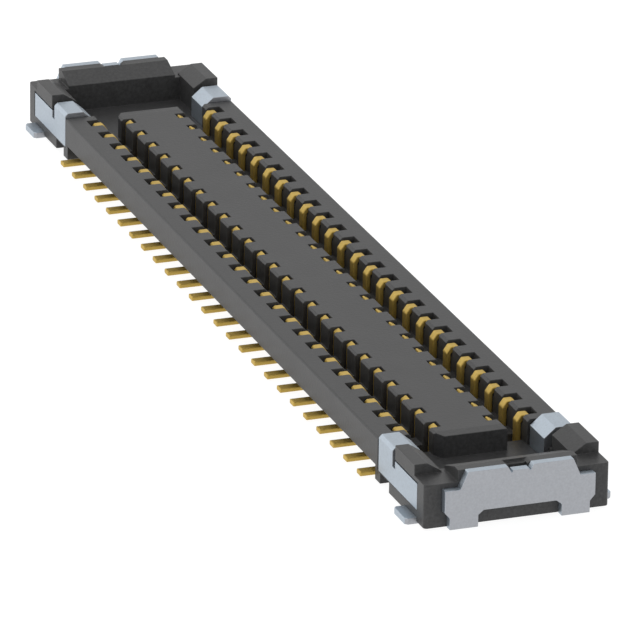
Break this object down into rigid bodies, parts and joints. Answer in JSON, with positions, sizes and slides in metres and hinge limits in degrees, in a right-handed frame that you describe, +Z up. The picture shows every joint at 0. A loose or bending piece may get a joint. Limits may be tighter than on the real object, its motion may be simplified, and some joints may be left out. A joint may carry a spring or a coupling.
{
  "type": "board to board connector",
  "caption": "Low-profile surface-mount board to board receptacle: a long plastic housing with two rows of gold spring contacts round a central island and sheet metal fittings at both ends.",
  "frame": {"origin": "middle of the soldering plane, under the centre of the housing", "axes": "+X along the contact rows, +Y across them, +Z up from the circuit board towards the mating side"},
  "size_m": [0.0112, 0.002, 0.0005],
  "materials": {
    "housing_plastic": "moulded, faintly glossy dark grey",
    "contact_metal": "gold plated, satin",
    "fitting_metal": "plain plated sheet, satin"
  },
  "bodies": {
    "root": {"housing": "housing_plastic", "end_fitting_right": "fitting_metal", "end_fitting_left": "fitting_metal", "contact_back_01": "contact_metal", "contact_back_02": "contact_metal", "contact_back_03": "contact_metal", "contact_back_04": "contact_metal", "contact_back_05": "contact_metal", "contact_back_06": "contact_metal", "contact_back_07": "contact_metal", "contact_back_08": "contact_metal", "contact_back_09": "contact_metal", "contact_back_10": "contact_metal", "contact_back_11": "contact_metal", "contact_back_12": "contact_metal", "contact_back_13": "contact_metal", "contact_back_14": "contact_metal", "contact_back_15": "contact_metal", "contact_back_16": "contact_metal", "contact_back_17": "contact_metal", "contact_back_18": "contact_metal", "contact_back_19": "contact_metal", "contact_back_20": "contact_metal", "contact_back_21": "contact_metal", "contact_back_22": "contact_metal", "contact_back_23": "contact_metal", "contact_back_24": "contact_metal", "contact_back_25": "contact_metal", "contact_front_01": "contact_metal", "contact_front_02": "contact_metal", "contact_front_03": "contact_metal", "contact_front_04": "contact_metal", "contact_front_05": "contact_metal", "contact_front_06": "contact_metal", "contact_front_07": "contact_metal", "contact_front_08": "contact_metal", "contact_front_09": "contact_metal", "contact_front_10": "contact_metal", "contact_front_11": "contact_metal", "contact_front_12": "contact_metal", "contact_front_13": "contact_metal", "contact_front_14": "contact_metal", "contact_front_15": "contact_metal", "contact_front_16": "contact_metal", "contact_front_17": "contact_metal", "contact_front_18": "contact_metal", "contact_front_19": "contact_metal", "contact_front_20": "contact_metal", "contact_front_21": "contact_metal", "contact_front_22": "contact_metal", "contact_front_23": "contact_metal", "contact_front_24": "contact_metal", "contact_front_25": "contact_metal"}
  },
  "joints": []
}
